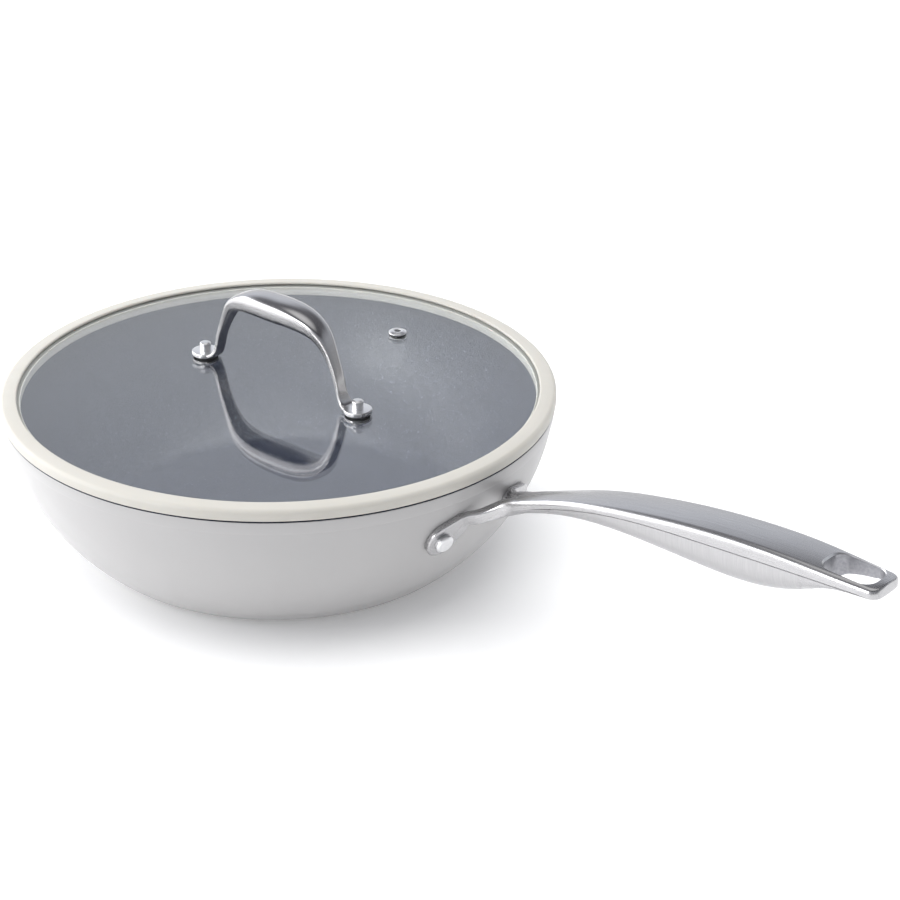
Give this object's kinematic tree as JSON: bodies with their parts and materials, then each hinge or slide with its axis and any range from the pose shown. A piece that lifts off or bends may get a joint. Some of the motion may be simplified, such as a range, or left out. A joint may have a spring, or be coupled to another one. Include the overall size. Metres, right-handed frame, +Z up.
{
  "type": "wok pan with glass lid",
  "caption": "Deep rounded frying pan with a forked metal long handle and a flat vented glass lid in a silicone rim, lifted by an arched metal handle.",
  "frame": {"origin": "centre of the pan's underside, on the surface it stands on", "axes": "+X along the long handle, +Z up; the closed lid's arch is in line with +X"},
  "size_m": [0.513, 0.29, 0.137],
  "materials": {
    "white_coated_aluminium": "satin white ceramic coat outside, slate non-stick coat inside",
    "induction_steel": "turned",
    "satin_steel": "satin brushed",
    "rivet_steel": "polished",
    "tempered_glass": "clear polished",
    "cream_silicone": "matt",
    "clear_silicone": "matt",
    "polished_steel": "polished"
  },
  "bodies": {
    "pan": {"pan_shell": "white_coated_aluminium", "induction_plate": "induction_steel", "handle_casting": "satin_steel", "handle_belly_shell": "satin_steel", "handle_rivet_left": "rivet_steel", "handle_rivet_right": "rivet_steel"},
    "lid": {"lid_glass": "tempered_glass", "lid_silicone_rim": "cream_silicone", "lid_handle": "polished_steel", "vent_ferrule": "polished_steel", "vent_gasket": "clear_silicone", "vent_backing_ring": "polished_steel", "lid_gasket_front": "clear_silicone", "lid_sleeve_front": "clear_silicone", "lid_washer_front": "polished_steel", "lid_rivet_front": "polished_steel", "lid_gasket_rear": "clear_silicone", "lid_sleeve_rear": "clear_silicone", "lid_washer_rear": "polished_steel", "lid_rivet_rear": "polished_steel"}
  },
  "joints": [
    {"name": "lid_lift", "type": "slide", "parent": "pan", "child": "lid", "axis": [0, 0, 1], "range_m": [0, 0.15]}
  ]
}
